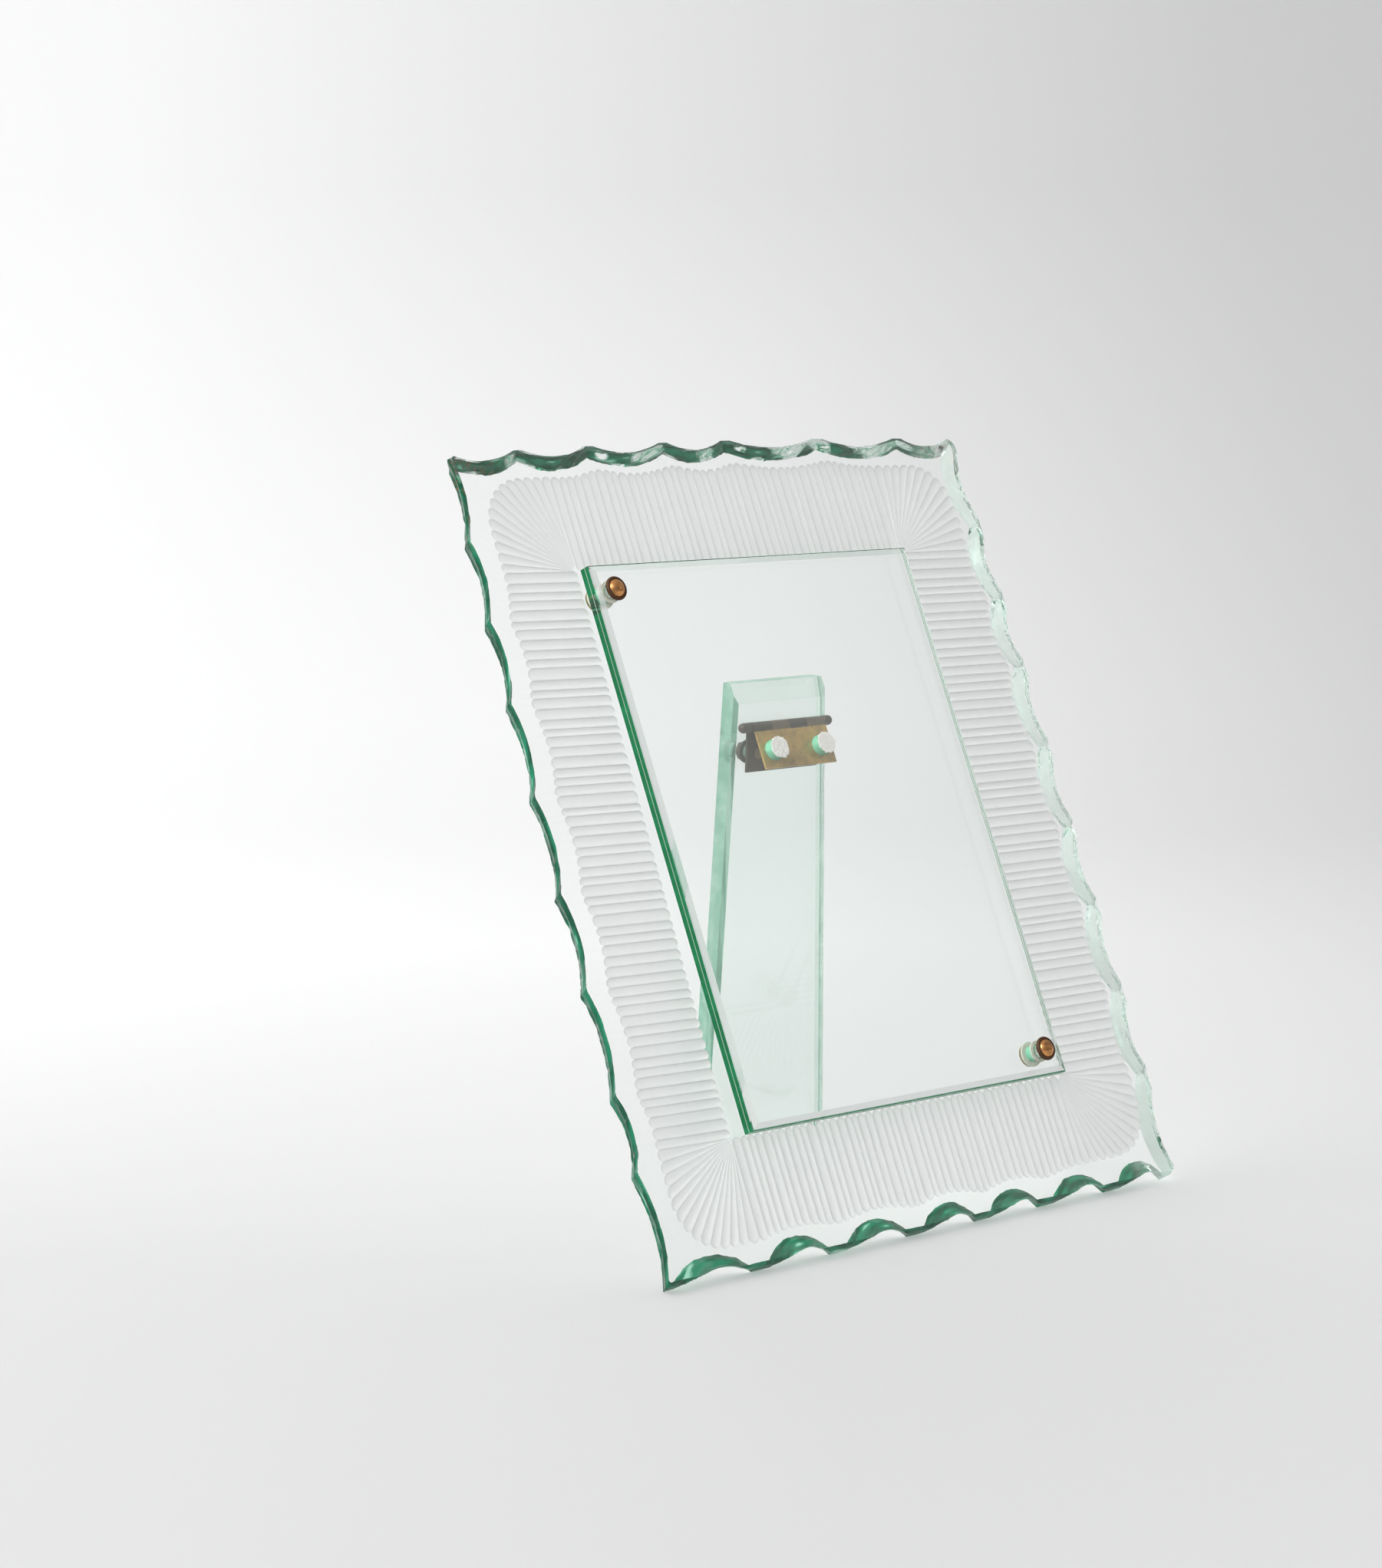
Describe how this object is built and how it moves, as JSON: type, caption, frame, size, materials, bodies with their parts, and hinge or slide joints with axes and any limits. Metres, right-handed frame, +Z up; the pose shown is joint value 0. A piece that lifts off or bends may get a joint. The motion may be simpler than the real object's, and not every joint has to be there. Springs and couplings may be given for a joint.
{
  "type": "glass easel picture frame",
  "caption": "Easel picture frame of thick glass: scalloped, fluted back plate, bevelled front panel under domed brass buttons, and a hinged glass strut behind.",
  "frame": {"origin": "on the table, below the middle of the box round the frame as it stands open", "axes": "+Z up; -Y the side the picture faces; +X to the right of someone looking at the picture"},
  "size_m": [0.3034, 0.1475, 0.3207],
  "materials": {
    "plate_glass": "polished clear glass with hand-chipped edges and satin wheel-cut flutes",
    "panel_glass": "polished clear glass with ground bevels",
    "strut_glass": "polished clear glass with ground edges",
    "button_brass": "aged, unlacquered, dark in the grooves",
    "hinge_brass": "aged, unlacquered",
    "fastener_brass": "aged, turned",
    "plaster": "rough warm white plaster",
    "fibre": "plain fibre washer",
    "dark_washer": "matt black"
  },
  "bodies": {
    "frame": {"main_plate": "plate_glass", "front_panel": "panel_glass", "upper_spacer": "fibre", "lower_spacer": "fibre", "upper_stud": "fastener_brass", "lower_stud": "fastener_brass", "upper_back_washer": "fibre", "lower_back_washer": "fibre", "hinge_front_leaf": "hinge_brass", "hinge_pin": "hinge_brass", "left_plaster_plug": "plaster", "right_plaster_plug": "plaster", "left_hinge_screw": "fastener_brass", "right_hinge_screw": "fastener_brass"},
    "strut_leg": {"strut": "strut_glass", "hinge_rear_leaf": "hinge_brass", "left_strut_bolt": "fastener_brass", "right_strut_bolt": "fastener_brass", "left_strut_washer": "dark_washer", "right_strut_washer": "dark_washer", "left_strut_nut": "fastener_brass", "right_strut_nut": "fastener_brass"},
    "upper_button_cap": {"upper_button": "button_brass"},
    "lower_button_cap": {"lower_button": "button_brass"}
  },
  "joints": [
    {"name": "strut_fold", "type": "hinge", "parent": "frame", "child": "strut_leg", "pos_m": [-0.00019, 0.02542, 0.20044], "axis": [-1, 0, 0], "range_deg": [0, 26.5]},
    {"name": "upper_button_turn", "type": "hinge", "parent": "frame", "child": "upper_button_cap", "pos_m": [-0.08269, 0.0346, 0.26312], "axis": [0, -0.9135, 0.4067], "continuous": true},
    {"name": "lower_button_turn", "type": "hinge", "parent": "frame", "child": "lower_button_cap", "pos_m": [0.08231, -0.05406, 0.06397], "axis": [0, -0.9135, 0.4067], "continuous": true}
  ]
}
